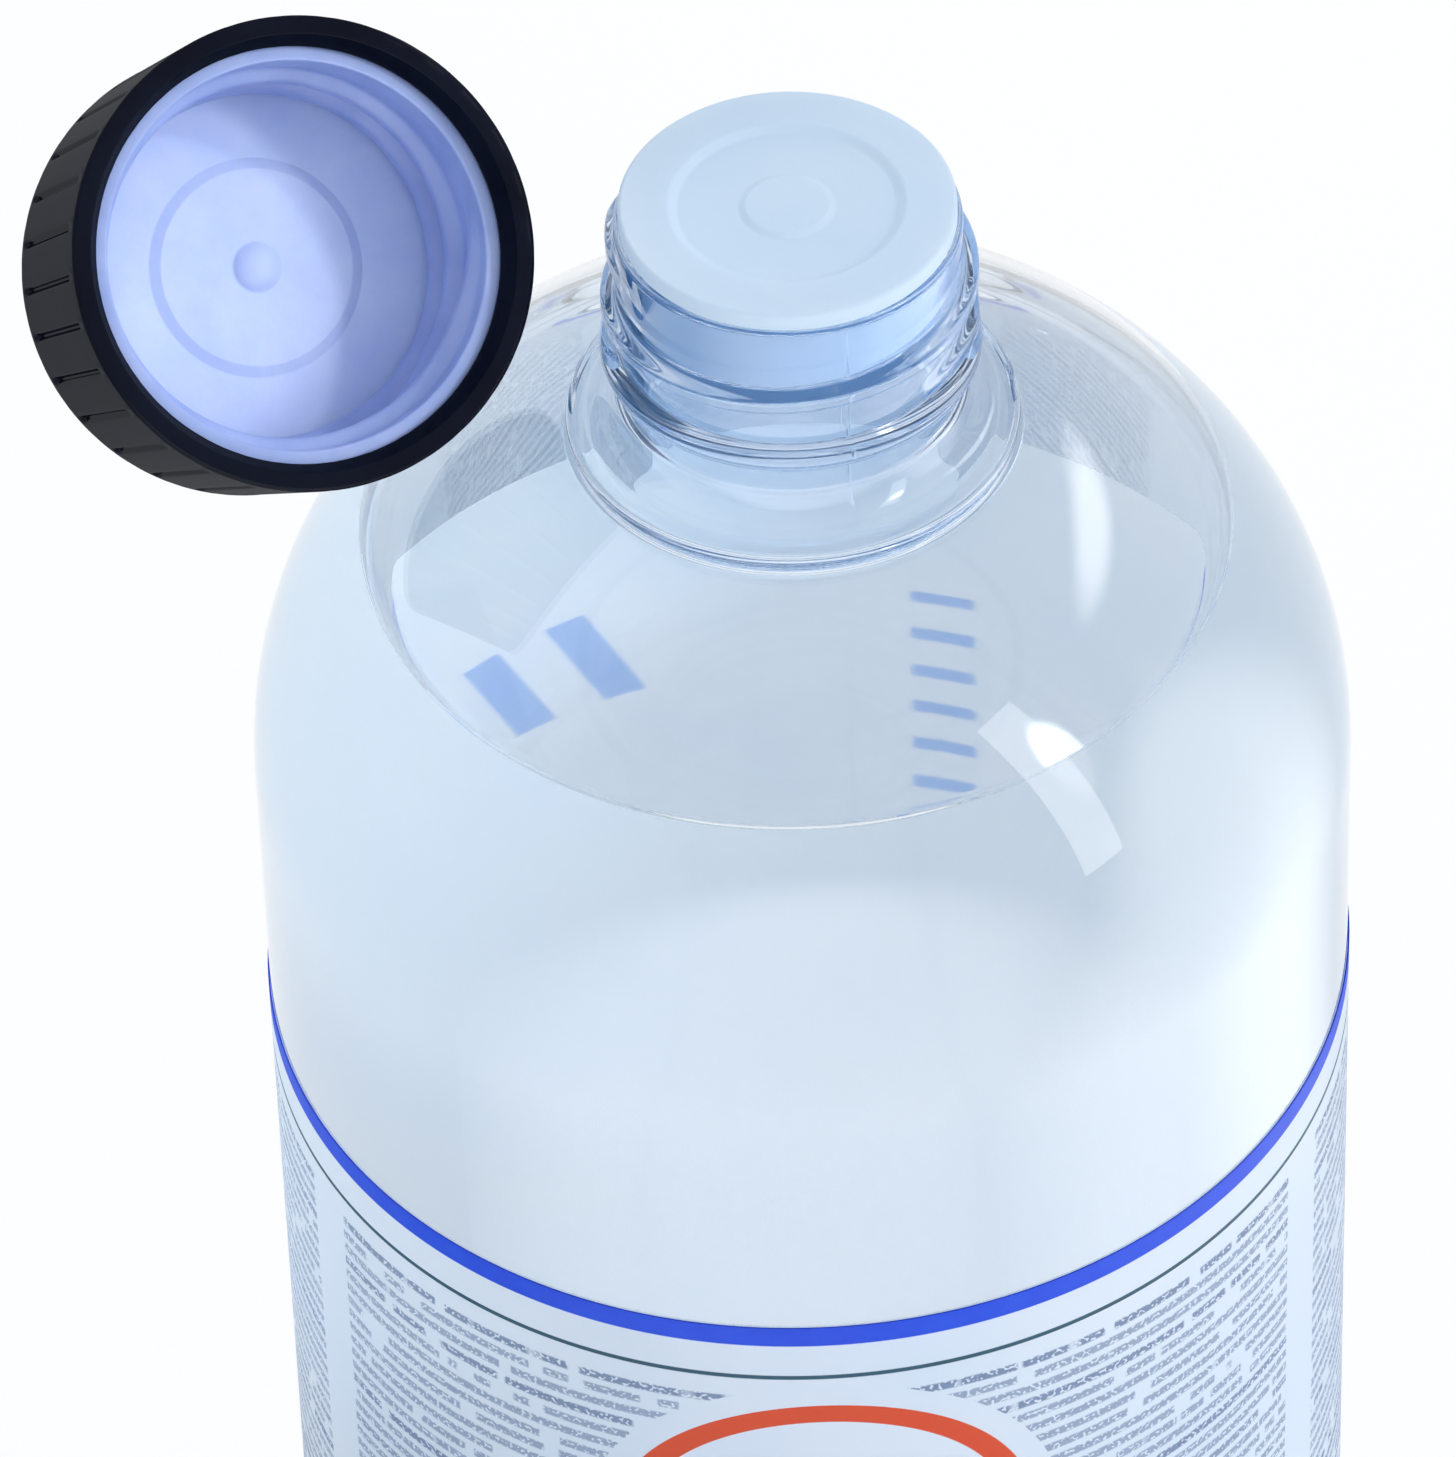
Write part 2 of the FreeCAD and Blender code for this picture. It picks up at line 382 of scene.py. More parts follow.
def turned_piece(name, outline, degrees, push=None, slots=None, place=None):
    """A mesh turned about Z, then put in its place. An outline that starts off the axis makes a ring."""
    closed = outline[0][0] > same_place
    radii, heights = np.array(outline + outline[:1] * closed).T[:, :, None] + 0 * degrees[None, None, :]
    if push:
        radii, heights = push(degrees[None, :], radii, heights)
    turns = np.radians(degrees)[None, :]
    points = np.stack([radii * np.cos(turns), radii * np.sin(turns), heights], -1) * MM
    rows, columns = radii.shape
    index = np.arange(rows * columns).reshape(rows, columns)
    beside = np.roll(index, -1, axis=1)
    quads = np.stack([index[:-1], beside[:-1], beside[1:], index[1:]], -1).reshape(-1, 4)
    mesh = bpy.data.meshes.new(name)
    mesh.from_pydata(points.reshape(-1, 3).tolist(), [], quads.tolist())
    if slots:
        mesh.polygons.foreach_set("material_index", np.repeat(slots, columns))
    mesh.polygons.foreach_set("use_smooth", [True] * len(quads))
    work = bmesh.new()
    work.from_mesh(mesh)
    bmesh.ops.remove_doubles(work, verts=work.verts, dist=weld_distance)
    work.transform(place or Matrix.Identity(4))
    work.to_mesh(mesh)
    work.free()
    piece = bpy.data.objects.new(name, mesh)
    bpy.context.scene.collection.objects.link(piece)
    piece.modifiers.new("even_shading", "WEIGHTED_NORMAL").weight = 50
    return piece


def finished(piece, body, node, slot, *materials):
    """Puts a piece in its CAD node's stead, on that node's body and with its materials."""
    for material in materials:
        piece.data.materials.append(material)
    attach(piece, body)
    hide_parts(node)


# Shapes

def ridge_share(degrees, heights, low_z, low_degrees, turns):
    """How far each point of a round wall lies up a helical ridge, from 0 at its root to 1 on its crest."""
    whole = turns * 360
    share = np.zeros_like(heights)
    for turn in range(math.ceil(turns)):
        gone = (degrees - low_degrees) % 360 + 360 * turn
        from_end = np.minimum(gone, whole - gone)
        fade = np.clip(thread_end_share + from_end / thread_fade_degrees, 0, 1)
        off = np.abs(heights - low_z - thread_pitch * gone / 360)
        flank = np.clip((thread_root_width - 2 * off) / (thread_root_width - thread_crest_width), 0, 1)
        share = np.maximum(share, flank * flank * (3 - 2 * flank) * fade)
    return share


def body_outline(inset):
    """The bottle's half section moved in by inset, from the base's middle to the top of the wall."""
    foot_outer = body_radius - heel_radius
    foot_inner = foot_outer - foot_width
    return joined(
        dome(foot_inner, inset, base_rise, round_steps),
        arc((foot_outer, heel_radius), heel_radius - inset, -90, 0, round_steps),
        [(body_radius - inset, shoulder_z)],
    )


def shoulder_arc(inset, start, end, steps):
    return arc((shoulder_centre_radius, shoulder_z), shoulder_radius - inset, start, end, steps)


def shoulder_degrees_at_radius(inset, radius):
    return math.degrees(math.acos((radius - shoulder_centre_radius) / (shoulder_radius - inset)))


def shoulder_degrees_at_height(inset, height):
    return math.degrees(math.asin((height - shoulder_z) / (shoulder_radius - inset)))


def neck_push(degrees, radii, heights):
    """Raises the thread and the mould's seam on the outside of the neck."""
    above = (radii > neck_radius - rim_round / 2) & (heights > ring_top_z + support_ring_thickness)
    share = ridge_share(degrees, heights, bottle_height - thread_low_drop, thread_low_degrees, thread_turns)
    raised = np.maximum(radii, neck_radius + thread_depth * share)
    from_seam = (degrees - seam_degrees + 90) % 180 - 90
    raised += seam_rise * np.exp(-((from_seam / seam_half_degrees) ** 2))
    return np.where(above & (heights < bottle_height - rim_round), raised, radii), heights


def wall_push(degrees, radii, heights):
    """Shapes the neck, and slants the edges of the wall's glued part with the label's."""
    radii, heights = neck_push(degrees, radii, heights)
    glued = (radii > body_radius - bottle_wall / 2) & (heights > heel_radius) & (heights < shoulder_z)
    return radii, np.where(glued, label_slant(degrees, radii, heights), heights)


def label_slant(degrees, radii, heights):
    return heights + label_skew * radii * np.cos(np.radians(degrees))


def make_bottle():
    flare = ring_middle_radius - neck_radius
    ring_half = support_ring_thickness / 2
    bead_low_z = bead_z - bead_height / 2
    bead_half = bead_height / 2
    bead_ball = (bead_half**2 + bead_rise**2) / (2 * bead_rise)
    bead_spread = math.degrees(math.asin(bead_half / bead_ball))
    if bead_rise > bead_ball:
        bead_spread = 180 - bead_spread
    body = body_outline(0)
    above_label = joined(
        [(body_radius, label_high_z), (body_radius, shoulder_z)],
        shoulder_arc(0, 0, shoulder_degrees_at_radius(0, ring_middle_radius), shoulder_steps),
        arc((ring_middle_radius, ring_low_z + ring_half), ring_half, -90, 90, round_steps),
        arc((ring_middle_radius, ring_top_z + flare), flare, 270, 180, round_steps),
        straight((neck_radius, ring_top_z + flare), (neck_radius, bead_low_z), neck_foot_steps),
        arc((neck_radius + bead_rise - bead_ball, bead_z), bead_ball, -bead_spread, bead_spread, bead_steps),
        straight((neck_radius, bead_z + bead_half), (neck_radius, bottle_height - rim_round), thread_steps),
        arc((neck_radius - rim_round, bottle_height - rim_round), rim_round, 0, 90, rim_steps),
    )
    throat_end = neck_bore_radius + throat_radius
    throat_degrees = shoulder_degrees_at_radius(bottle_wall, throat_end)
    throat_low_z = shoulder_arc(bottle_wall, throat_degrees, throat_degrees, 1)[0][1]
    edge_degrees = shoulder_degrees_at_height(bottle_wall, fill_z + meniscus_rise)
    dry_inside = joined(
        arc((neck_bore_radius + rim_round, bottle_height - rim_round), rim_round, 90, 180, rim_steps),
        arc((throat_end, throat_low_z + throat_radius), throat_radius, 180, 270, round_steps),
        shoulder_arc(bottle_wall, throat_degrees, edge_degrees, dry_shoulder_steps),
    )
    wet_inside = joined(
        shoulder_arc(bottle_wall, edge_degrees, 0, wet_shoulder_steps),
        body_outline(bottle_wall)[::-1],
    )
    outline, slots = slotted(
        (0, body[:-1] + [(body_radius, label_low_z)]),
        (2, [(body_radius, label_high_z)]),
        (0, above_label),
        (0, dry_inside),
        (1, wet_inside),
    )
    seam_offsets = np.linspace(-seam_reach_degrees, seam_reach_degrees, seam_columns)
    degrees = degrees_with(bottle_columns, (seam_degrees, seam_degrees + 180), seam_offsets)
    piece = turned_piece("clear_bottle", outline, degrees, wall_push, slots)
    finished(piece, "bottle", "bottle_shell", "clear_plastic", clear_plastic("clear_wall", air_to_plastic),
             clear_plastic("wet_wall", liquid_to_plastic), unseen_skin("glued_wall"))


def make_liquid():
    inset = bottle_wall + fill_gap
    edge_degrees = shoulder_degrees_at_height(inset, fill_z + meniscus_rise)
    side = joined(body_outline(inset), shoulder_arc(inset, 0, edge_degrees, wet_shoulder_steps))
    edge_radius = side[-1][0]
    shares = [step / round_steps for step in range(round_steps + 1)]
    meniscus = [(edge_radius - meniscus_reach * t, fill_z + meniscus_rise * (1 - t) ** 3) for t in shares]
    outline, slots = slotted((0, side), (1, meniscus), (1, [(0, fill_z)]))
    piece = turned_piece("liquid", outline, even_degrees(liquid_columns), slots=slots)
    finished(piece, "bottle", "liquid_fill", "clear_liquid", unseen_skin("liquid_skin"),
             clear_plastic("liquid_surface", air_to_liquid))


def make_label():
    inside = label_outside - label_thickness
    half_flap = math.degrees(label_overlap / 2 / label_outside)

    def flap(degrees, radii, heights):
        on_flap = np.abs(degrees - 90) <= half_flap
        outside = radii > inside + label_thickness / 2
        return radii + label_thickness * (on_flap & outside), label_slant(degrees, radii, heights)

    outline = [(inside, label_low_z), (label_outside, label_low_z), (label_outside, label_high_z),
               (inside, label_high_z)]
    edge_offsets = (-flap_edge_degrees, 0, flap_edge_degrees)
    degrees = degrees_with(label_columns, (90 - half_flap, 90 + half_flap), edge_offsets)
    piece = turned_piece("printed_label", outline, degrees, flap, [0, 0, 0, 1])
    finished(piece, "bottle", "wrap_label", "label_film", label_face(), label_back())


def make_plug():
    flange_low_z = plug_top_z - plug_flange_thickness
    face_z = plug_top_z - plug_panel_depth
    skirt_radius = neck_bore_radius - plug_fit
    skirt_inside = skirt_radius - plug_skirt_wall
    outline = filleted(
        (0, flange_low_z, 0),
        (skirt_inside, flange_low_z, plug_root_fillet),
        (skirt_inside, plug_low_z, plug_skirt_fillet),
        (skirt_radius - plug_chamfer, plug_low_z, plug_skirt_fillet),
        (skirt_radius, plug_low_z + plug_chamfer, plug_skirt_fillet),
        (skirt_radius, flange_low_z, 0),
        (plug_flange_radius, flange_low_z, flange_low_fillet),
        (plug_flange_radius, plug_top_z, flange_top_fillet),
        (plug_panel_radius + plug_panel_slope, plug_top_z, plug_panel_fillet),
        (plug_panel_radius - plug_panel_slope, face_z, plug_panel_fillet),
        (plug_boss_radius + plug_boss_slope, face_z, plug_boss_fillet),
        (plug_boss_radius - plug_boss_slope, face_z + plug_boss_height, plug_boss_fillet),
        (0, face_z + plug_boss_height, 0),
    )
    piece = turned_piece("frosted_plug", outline, even_degrees(plug_columns))
    finished(piece, "plug", "neck_plug", "frosted_plastic", frosted_plastic())


def skirt_radius_at(z):
    """The cap's tapering outside radius at a height above its mouth."""
    return cap_rim_radius + (cap_top_radius - cap_rim_radius) * z / (cap_height - cap_corner_round)


def groove_push(degrees, radii, heights):
    """Cuts the grip's grooves into the outside of the cap's skirt."""
    pitch = 360 / groove_count
    from_groove = np.radians((degrees + pitch / 2) % pitch - pitch / 2) * radii
    low_share = np.clip((heights - cap_band_height) / groove_depth, 0, 1)
    groove_top_z = cap_height - cap_corner_round - groove_top_gap
    high_share = np.clip((groove_top_z - heights) / groove_depth, 0, 1)
    depth = groove_depth * np.clip(1 - np.abs(from_groove) / groove_half_width, 0, 1)
    outside = radii > skirt_radius_at(heights) - cap_wall / 2
    return radii - depth * low_share * high_share * outside, heights


def make_cap_outer(place):
    cavity_top_z = cap_height - cap_top_thickness
    panel_radius = cap_top_radius - top_panel_inset
    groove_top_z = cap_height - cap_corner_round - groove_top_gap
    inside = filleted(
        (0, cavity_top_z, 0),
        (skirt_radius_at(cavity_top_z) - cap_wall, cavity_top_z, cap_cavity_fillet),
        (skirt_radius_at(cap_lip_height) - cap_wall, cap_lip_height, cap_lip_root_fillet),
        (cap_lip_radius, cap_lip_height, cap_lip_edge_fillet),
        (cap_lip_radius, cap_lip_chamfer, cap_lip_chamfer_fillet),
        (cap_lip_radius + cap_lip_chamfer / 2, 0, cap_mouth_fillet),
        (cap_rim_radius, 0, cap_rim_fillet),
        (skirt_radius_at(cap_band_height), cap_band_height, 0),
    )
    skirt = straight(
        (skirt_radius_at(cap_band_height), cap_band_height),
        (skirt_radius_at(groove_top_z), groove_top_z),
        skirt_steps,
    )
    top = filleted(
        (skirt_radius_at(groove_top_z), groove_top_z, 0),
        (cap_top_radius, cap_height, cap_corner_round),
        (panel_radius, cap_height, top_panel_fillet),
        (panel_radius - top_panel_depth, cap_height - top_panel_depth, top_panel_fillet),
        (0, cap_height - top_panel_depth, 0),
    )
    pitch = 360 / groove_count
    offsets = [side * reach for reach in groove_side_degrees for side in (-1, 1)]
    centres = [index * pitch for index in range(groove_count)]
    degrees = degrees_with(groove_count * columns_per_groove, centres, offsets)
    piece = turned_piece("grooved_cap", joined(inside, skirt, top), degrees, groove_push, place=place)
    finished(piece, "cap_outer", "cap_outer_shell", "black_plastic", black_plastic())


def cap_thread_push(degrees, radii, heights):
    """Raises the cap's thread on the inner shell's bore."""
    low_z = inner_low_z + cap_thread_low
    share = ridge_share(degrees, heights, low_z, cap_thread_low_degrees, cap_thread_turns)
    depth = inner_bore_radius - neck_radius - thread_clearance
    bore = (radii < inner_bore_radius + near_enough) & (heights < panel_z)
    return np.where(bore, np.minimum(radii, inner_bore_radius - depth * share), radii), heights


def make_cap_inner(place):
    retainer_top_z = disc_face_z - retainer_gap
    retainer_low_z = retainer_top_z - retainer_height
    shares = [step / retainer_steps for step in range(retainer_steps + 1)]
    retainer = [
        (inner_bore_radius - retainer_rise * math.sin(math.pi * t), retainer_top_z - retainer_height * t)
        for t in shares
    ]
    edge_z = inner_low_z + liner_edge_height
    outline = joined(
        filleted(
            (0, panel_z, 0),
            (inner_bore_radius, panel_z, liner_root_fillet),
            (inner_bore_radius, retainer_top_z, 0),
        ),
        retainer,
        straight((inner_bore_radius, retainer_low_z), (inner_bore_radius, edge_z), liner_steps),
        filleted(
            (inner_bore_radius, edge_z, 0),
            (inner_bore_radius, inner_low_z, liner_mouth_fillet),
            (inner_mouth_radius, inner_low_z, liner_mouth_fillet),
            (inner_top_radius, inner_top_z, liner_top_fillet),
            (0, inner_top_z, 0),
        ),
    )
    degrees = even_degrees(liner_columns)
    piece = turned_piece("threaded_cap_liner", outline, degrees, cap_thread_push, place=place)
    finished(piece, "cap_inner", "cap_inner_shell", "pale_plastic", liner_plastic())


def make_cap_disc(place):
    boss_z = disc_face_z - disc_boss_height
    edge_radius = inner_bore_radius - disc_side_gap
    outline = joined(
        dome(disc_gate_radius, boss_z, -disc_gate_height, gate_steps),
        filleted(
            (disc_gate_radius, boss_z, 0),
            (disc_boss_radius - disc_boss_slope, boss_z, disc_boss_fillet),
            (disc_boss_radius + disc_boss_slope, disc_face_z, disc_boss_fillet),
            (edge_radius, disc_face_z, disc_edge_fillet),
            (edge_radius, disc_back_z, disc_edge_fillet),
            (0, disc_back_z, 0),
        ),
    )
    piece = turned_piece("cap_seal_disc", outline, even_degrees(disc_columns), place=place)
    finished(piece, "cap_seal", "cap_sealing_disc", "disc_plastic", disc_plastic())


# Materials

def colour(red, green, blue):
    """A colour as it looks on a screen, from 0 to 255, as the shader's own numbers."""
    shares = [value / 255 for value in (red, green, blue)]
    return [s / 12.92 if s <= 0.04045 else ((s + 0.055) / 1.055) ** 2.4 for s in shares] + [1]


class Paint:
    """A node material, with short ways to add what its surface needs."""

    def __init__(self, name):
        self.material = bpy.data.materials.new(name)
        self.material.use_nodes = True
        self.tree = self.material.node_tree
        self.tree.nodes.clear()
        self.place = self.add("ShaderNodeTexCoord").outputs["Object"]

    def add(self, kind, sockets=None, **settings):
        node = self.tree.nodes.new(kind)
        for name, value in settings.items():
            setattr(node, name, value)
        for name, value in (sockets or {}).items():
            self.feed(node.inputs[name], value)
        return node

    def feed(self, socket, value):
        if isinstance(value, bpy.types.NodeSocket):
            self.tree.links.new(value, socket)
        else:
            socket.default_value = value

    def maths(self, operation, *values):
        node = self.add("ShaderNodeMath", operation=operation)
        for socket, value in zip(node.inputs, values):
            self.feed(socket, value)
        return node.outputs[0]

    def noise(self, scale, detail=2.0, place=None):
        sockets = {"Vector": place or self.place, "Scale": scale, "Detail": detail}
        return self.add("ShaderNodeTexNoise", sockets).outputs["Fac"]

    def spread(self, value, from_low, from_high, low, high):
        limits = {"From Min": from_low, "From Max": from_high, "To Min": low, "To Max": high}
        return self.add("ShaderNodeMapRange", {"Value": value, **limits}).outputs["Result"]

    def drifting(self, scale, low, high, detail=2.0):
        """A value that drifts over the surface from low to high."""
        return self.spread(self.noise(scale, detail), *noise_span, low, high)

    def mix(self, share, first, second):
        node = self.add("ShaderNodeMix", data_type="RGBA")
        self.feed(node.inputs[0], share)
        self.feed(node.inputs[6], first)
        self.feed(node.inputs[7], second)
        return node.outputs[2]

    def mottled(self, scale, first, second, detail=3.0):
        """Two colours that drift into each other over the surface."""
        return self.mix(self.drifting(scale, 0, 1, detail), first, second)

    def between(self, value, least, most, soft=0.03):
        """1 between two values and 0 outside them, with edges as wide as soft says."""
        above = self.spread(value, least - soft, least + soft, 0, 1)
        below = self.spread(value, most - soft, most + soft, 1, 0)
        return self.maths("MULTIPLY", above, below)

    def all_of(self, masks):
        first, *others = masks
        for mask in others:
            first = self.maths("MULTIPLY", first, mask)
        return first

    def any_of(self, masks):
        first, *others = masks
        for mask in others:
            first = self.maths("MAXIMUM", first, mask)
        return first

    def inked(self, surface, masks, inks):
        for mask, ink in zip(masks, inks):
            surface = self.mix(mask, surface, ink)
        return surface

    def film(self, face, through, through_share):
        """A thin sheet of one colour in the light in front of it, and of another in the light behind it."""
        waves = self.bump(self.noise(120), distance=0.0001, strength=0.3)
        front = self.principled(Base_Color=face, Roughness=0.38, Specular_IOR_Level=0.25, Normal=waves)
        behind = self.add("ShaderNodeBsdfTranslucent", {"Color": through}).outputs[0]
        return self.blend(through_share, front, behind)

    def bump(self, height, distance, strength=1.0):
        sockets = {"Height": height, "Distance": distance, "Strength": strength}
        return self.add("ShaderNodeBump", sockets).outputs["Normal"]

    def principled(self, **sockets):
        named = {name.replace("_", " "): value for name, value in sockets.items()}
        return self.add("ShaderNodeBsdfPrincipled", named).outputs[0]

    def blend(self, share, first, second):
        node = self.add("ShaderNodeMixShader")
        for socket, value in zip(node.inputs, (share, first, second)):
            self.feed(socket, value)
        return node.outputs[0]

    def done(self, shader):
        output = self.add("ShaderNodeOutputMaterial")
        self.tree.links.new(shader, output.inputs["Surface"])
        return self.material


def clear_plastic(name, ior):
    """Clear, and bluer in the thick neck, with the slight waves of a blown wall. Lamps shine through it."""
    paint = Paint(name)
    body_tint = paint.mottled(60, colour(247, 251, 255), colour(251, 253, 255))
    neck_tint = paint.mottled(60, colour(226, 240, 252), colour(233, 244, 253))
    height = paint.add("ShaderNodeSeparateXYZ", {"Vector": paint.place}).outputs["Z"]
    neck_share = paint.spread(height, (ring_low_z - haze_below_ring) * MM, bead_z * MM, 0, 1)
    tint = paint.mix(neck_share, body_tint, neck_tint)
    waves = paint.bump(paint.noise(45, detail=1.0), distance=0.0002, strength=0.5)
    glass = paint.principled(Base_Color=tint, Roughness=0.0, IOR=ior, Transmission_Weight=1.0, Normal=waves)
    haze = paint.add("ShaderNodeBsdfTranslucent", {"Color": colour(122, 181, 242)}).outputs[0]
    glass = paint.blend(paint.spread(neck_share, 0, 1, 0, neck_haze), glass, haze)
    through = paint.add("ShaderNodeBsdfTransparent", {"Color": colour(252, 254, 255)}).outputs[0]
    shadow = paint.add("ShaderNodeLightPath").outputs["Is Shadow Ray"]
    return paint.done(paint.blend(shadow, glass, through))


def unseen_skin(name):
    """A face where two pieces meet with no air between them, so that it bends no light."""
    paint = Paint(name)
    tint = paint.mottled(40, colour(254, 255, 255), colour(255, 255, 255))
    return paint.done(paint.add("ShaderNodeBsdfTransparent", {"Color": tint}).outputs[0])


def label_masks(paint):
    """Where the label's small print, thin lines, ring, stripes and back marks are."""
    axes = paint.add("ShaderNodeSeparateXYZ", {"Vector": paint.place})
    x, y, z = (paint.maths("MULTIPLY", axes.outputs[axis], 1 / MM) for axis in "XYZ")
    turn = paint.maths("ARCTAN2", x, paint.maths("MULTIPLY", y, -1))
    across = paint.maths("MULTIPLY", turn, label_outside)
    height = paint.maths("SUBTRACT", z, paint.maths("MULTIPLY", x, label_skew))
    rise = paint.maths("SUBTRACT", height, ring_z)
    squares = paint.maths("ADD", paint.maths("POWER", across, 2), paint.maths("POWER", rise, 2))
    from_ring = paint.maths("SQRT", squares)
    ring = paint.between(from_ring, ring_radius - ring_stroke / 2, ring_radius + ring_stroke / 2)
    text = paint.maths("MULTIPLY", small_print(paint, across, height),
                       paint.maths("GREATER_THAN", from_ring, ring_radius + ring_clearance))
    lines, stripes = label_bands(paint, across, height)
    return text, lines, ring, stripes, back_marks(paint, across, height)


def small_print(paint, across, height):
    """Columns of small print that no one can read: rows of noise, cut into words and specks."""
    row = paint.maths("FLOOR", paint.maths("DIVIDE", height, row_pitch))
    in_row = paint.maths("FRACT", paint.maths("DIVIDE", height, row_pitch))
    row_start = paint.maths("MULTIPLY", row, row_noise_step)

    def specks(scale, up, least):
        place = paint.add("ShaderNodeCombineXYZ", {"X": across, "Y": up}).outputs[0]
        return paint.spread(paint.noise(scale, 0.0, place), least - speck_edge, least + speck_edge, 0, 1)

    words = specks(scale=0.5, up=row_start, least=0.35)
    letters = specks(scale=3.2, up=paint.maths("ADD", row_start, height), least=0.4)
    weight = paint.add("ShaderNodeTexWhiteNoise", {"W": row}, noise_dimensions="1D").outputs["Value"]
    ink = paint.spread(weight, *bold_rows, faint_ink, 1.0)
    aside = paint.maths("ABSOLUTE", across)
    columns = paint.any_of(paint.between(aside, *edges) for edges in print_columns)
    rows = paint.between(in_row, *row_span, soft=row_edge)
    return paint.all_of((words, letters, ink, columns, rows, paint.between(height, *print_heights)))


def label_bands(paint, across, height):
    """The thin lines and blue stripes along the label's two ends. They stop short of the back."""
    not_back = paint.between(across, -band_reach, band_reach)
    half = line_height / 2
    lines = paint.any_of(paint.between(height, middle - half, middle + half) for middle in line_heights)
    stripes = paint.any_of((
        paint.between(height, label_high_z - stripe_height, label_high_z + stripe_past_edge),
        paint.between(height, *low_stripe),
    ))
    return paint.maths("MULTIPLY", lines, not_back), paint.maths("MULTIPLY", stripes, not_back)


def back_marks(paint, across, height):
    """The level scale and the two slanted blocks on the back of the label."""
    in_pitch = paint.maths("MODULO", height, scale_pitch)
    bars = paint.all_of((
        paint.between(in_pitch, scale_bar_foot, scale_bar_foot + scale_bar_height, soft=0.25),
        paint.between(height, *scale_heights),
        paint.between(across, *scale_across, soft=0.3),
    ))
    upright = paint.maths("SUBTRACT", across, paint.maths("MULTIPLY", height, block_slant))
    middles = [middle - block_slant * block_z for middle in block_middles]
    blocks = paint.all_of((
        paint.any_of(
            paint.between(upright, middle - block_half_width, middle + block_half_width, soft=0.2)
            for middle in middles
        ),
        paint.between(height, block_z - block_half_height, block_z + block_half_height, soft=0.2),
    ))
    return paint.any_of((bars, blocks))


def label_film(paint):
    return paint.mottled(35, colour(246, 251, 255), colour(250, 253, 255))


def label_face():
    """The printed outside of the label. Its print is paler in the light that comes through the film."""
    paint = Paint("label_face")
    masks = label_masks(paint)
    blue = paint.mottled(400, colour(6, 66, 228), colour(18, 80, 236))
    inks = (
        paint.mottled(900, colour(18, 46, 102), colour(48, 78, 132)),
        colour(4, 62, 84),
        colour(226, 58, 10),
        blue,
        colour(92, 152, 238),
    )
    through_inks = (
        colour(206, 221, 242),
        colour(70, 120, 140),
        colour(240, 112, 62),
        colour(40, 100, 232),
        colour(156, 200, 248),
    )
    paper = paint.mottled(35, colour(222, 234, 250), colour(230, 240, 252))
    face = paint.inked(paper, masks, inks)
    through = paint.inked(label_film(paint), masks, through_inks)
    return paint.done(paint.film(face, through, through_share=0.5))


def label_back():
    """The label's plain glued side."""
    paint = Paint("label_back")
    film = label_film(paint)
    return paint.done(paint.film(film, film, through_share=0.75))


def frosted_plastic():
    """Milky pale blue, with a fine matt grain."""
    paint = Paint("frosted_plastic")
    tint = paint.mottled(90, colour(225, 239, 250), colour(232, 243, 251))
    grain = paint.bump(paint.noise(2500), distance=0.00002, strength=0.6)
    matt = paint.principled(
        Base_Color=tint,
        Roughness=paint.drifting(300, 0.42, 0.56),
        Normal=grain,
    )
    glow = paint.add("ShaderNodeBsdfTranslucent", {"Color": tint}).outputs[0]
    return paint.done(paint.blend(0.45, matt, glow))


def black_plastic():
    """Glossy black moulded plastic with fine handling marks."""
    paint = Paint("black_plastic")
    return paint.done(paint.principled(
        Base_Color=paint.mottled(150, colour(8, 12, 23), colour(15, 19, 33)),
        Roughness=paint.drifting(220, 0.24, 0.38, detail=4.0),
        Specular_IOR_Level=0.0,
        Coat_Weight=0.1,
        Coat_Roughness=0.1,
        Normal=paint.bump(paint.noise(1800, detail=3.0), distance=0.00002, strength=0.5),
    ))


def pale_plastic(name, darker, lighter):
    """Satin plastic with a lavender cast."""
    paint = Paint(name)
    return paint.done(paint.principled(
        Base_Color=paint.mottled(250, darker, lighter, detail=4.0),
        Roughness=paint.drifting(400, 0.34, 0.46),
        Subsurface_Weight=0.15,
        Subsurface_Scale=0.001,
        Normal=paint.bump(paint.noise(1500, detail=3.0), distance=0.00003, strength=0.6),
    ))


def liner_plastic():
    return pale_plastic("liner_plastic", colour(142, 162, 216), colour(160, 178, 226))


def disc_plastic():
    return pale_plastic("disc_plastic", colour(188, 205, 245), colour(201, 216, 249))


# Stage

def light_from_background(tree):
    """1 for the rays that see the background: from the camera, in a reflection or through the glass."""
    path = tree.nodes.new("ShaderNodeLightPath")
    share = path.outputs["Is Camera Ray"]
    for name in ("Is Glossy Ray", "Is Transmission Ray"):
        either = tree.nodes.new("ShaderNodeMath")
        either.operation = "MAXIMUM"
        tree.links.new(share, either.inputs[0])
        tree.links.new(path.outputs[name], either.inputs[1])
        share = either.outputs[0]
    return share


def make_world():
    world = bpy.data.worlds.new("studio")
    world.use_nodes = True
    tree = world.node_tree
    tree.nodes.clear()
    room = tree.nodes.new("ShaderNodeBackground")
    room.inputs["Color"].default_value = colour(242, 247, 255)
    room.inputs["Strength"].default_value = room_strength
    white = tree.nodes.new("ShaderNodeBackground")
    white.inputs["Color"].default_value = (1, 1, 1, 1)
    mix = tree.nodes.new("ShaderNodeMixShader")
    output = tree.nodes.new("ShaderNodeOutputWorld")
    tree.links.new(light_from_background(tree), mix.inputs[0])
    tree.links.new(room.outputs[0], mix.inputs[1])
    tree.links.new(white.outputs[0], mix.inputs[2])
    tree.links.new(mix.outputs[0], output.inputs["Surface"])
    bpy.context.scene.world = world


